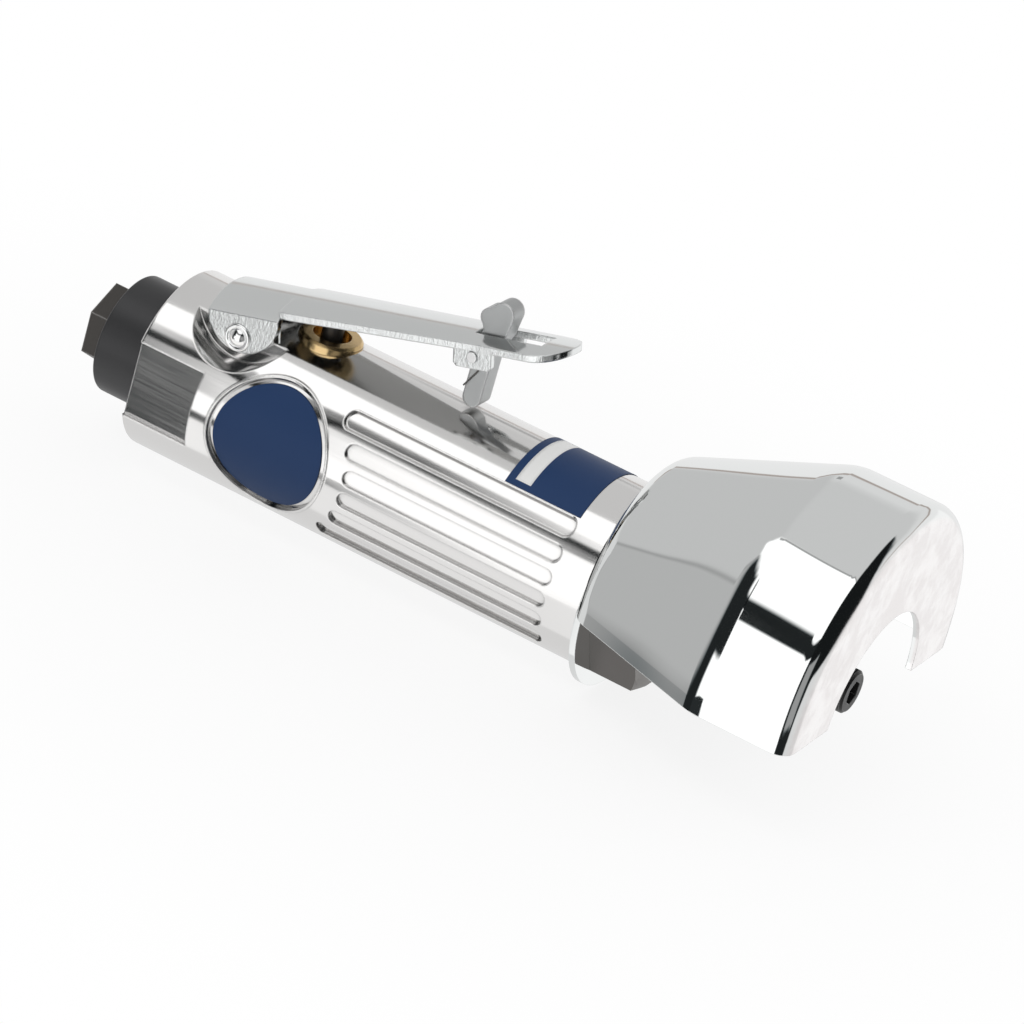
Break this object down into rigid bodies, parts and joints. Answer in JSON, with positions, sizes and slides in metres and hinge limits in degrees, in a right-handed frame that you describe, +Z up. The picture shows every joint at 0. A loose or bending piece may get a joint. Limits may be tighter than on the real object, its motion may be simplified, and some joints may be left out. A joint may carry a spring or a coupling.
{
  "type": "pneumatic cut off tool",
  "caption": "In-line air-driven cut off tool with a fluted tube, a throttle lever with a lock-off lever, and an open-bottomed wheel guard over the spindle.",
  "frame": {"origin": "centre of the air inlet's mouth, on the spindle's axis", "axes": "+X along the spindle from the inlet to the guard's open front, +Z up through the throttle lever, +Y to the side away from the round label"},
  "size_m": [0.1969, 0.0822, 0.0717],
  "materials": {
    "polished_aluminium": "polished",
    "black_steel": "black oxide",
    "screen_brass": "woven",
    "seal_rubber": "matte",
    "black_collar": "satin black",
    "felt": "matte",
    "brass": "turned",
    "spring_steel": "bright",
    "chrome": "mirror",
    "guard_chrome": "mirror",
    "pin_steel": "ground",
    "cast_grey": "satin cast",
    "plate_aluminium": "turned",
    "cylinder_iron": "ground",
    "ground_steel": "ground",
    "vane_laminate": "laminate",
    "bearing_steel": "polished",
    "nut_steel": "satin",
    "screw_steel": "black oxide",
    "label_blue": "gloss"
  },
  "bodies": {
    "tool_body": {"motor_housing": "polished_aluminium", "inlet_bushing": "black_steel", "inlet_screen": "screen_brass", "inlet_oring": "seal_rubber", "muffler_felt": "felt", "throttle_bushing": "brass", "throttle_spring": "spring_steel", "lever_pin": "pin_steel", "rear_end_plate": "plate_aluminium", "motor_cylinder": "cylinder_iron", "cylinder_dowel": "pin_steel", "front_end_plate": "plate_aluminium", "rear_bearing_outer": "bearing_steel", "front_bearing_outer": "bearing_steel", "clamp_nut": "nut_steel", "guard": "guard_chrome", "side_label": "label_blue", "band_label": "label_blue"},
    "lever": {"throttle_lever": "chrome", "lock_off_pin": "pin_steel"},
    "lock_off": {"lock_off_lever": "cast_grey", "lock_off_spring": "black_steel"},
    "valve": {"throttle_stem": "black_steel", "valve_seal": "seal_rubber"},
    "spindle": {"rotor": "ground_steel", "vane_1": "vane_laminate", "vane_2": "vane_laminate", "vane_3": "vane_laminate", "vane_4": "vane_laminate", "rear_bearing_inner": "bearing_steel", "front_bearing_inner": "bearing_steel", "inner_flange": "ground_steel", "outer_flange": "ground_steel", "arbor_screw": "screw_steel"},
    "rear_cage": {"rear_bearing_balls": "bearing_steel"},
    "front_cage": {"front_bearing_balls": "bearing_steel"},
    "collar": {"exhaust_collar": "black_collar"}
  },
  "joints": [
    {"name": "throttle_press", "type": "hinge", "parent": "tool_body", "child": "lever", "pos_m": [0.0378, 0, 0.0168], "axis": [0, 1, 0], "range_deg": [0, 6.5], "stiffness_Nm_per_rad": 2, "springref_deg": -5.73},
    {"name": "lock_off_swing", "type": "hinge", "parent": "lever", "child": "lock_off", "pos_m": [0.09098, 0, 0.03562], "axis": [0, 1, 0], "range_deg": [0, 74.2], "stiffness_Nm_per_rad": 0.01, "springref_deg": -17.19},
    {"name": "valve_travel", "type": "slide", "parent": "tool_body", "child": "valve", "axis": [0, 0, -1], "range_m": [0, 0.00206], "stiffness_N_per_m": 60, "springref_m": -0.02, "deforming": ["throttle_spring"]},
    {"name": "spindle_spin", "type": "hinge", "parent": "tool_body", "child": "spindle", "pos_m": [0.1, 0, 0], "axis": [1, 0, 0], "continuous": true},
    {"name": "rear_cage_spin", "type": "hinge", "parent": "tool_body", "child": "rear_cage", "pos_m": [0.0675, 0, 0], "axis": [1, 0, 0], "continuous": true},
    {"name": "front_cage_spin", "type": "hinge", "parent": "tool_body", "child": "front_cage", "pos_m": [0.119, 0, 0], "axis": [1, 0, 0], "continuous": true},
    {"name": "exhaust_turn", "type": "hinge", "parent": "tool_body", "child": "collar", "pos_m": [0.012, 0, 0], "axis": [1, 0, 0], "continuous": true}
  ],
  "couplings": [
    {"joint": "lock_off_swing", "follows": "throttle_press", "ratio": 11.4},
    {"joint": "valve_travel", "follows": "throttle_press", "m_per_rad": 0.01806},
    {"joint": "rear_cage_spin", "follows": "spindle_spin", "ratio": 0.374},
    {"joint": "front_cage_spin", "follows": "spindle_spin", "ratio": 0.38}
  ]
}
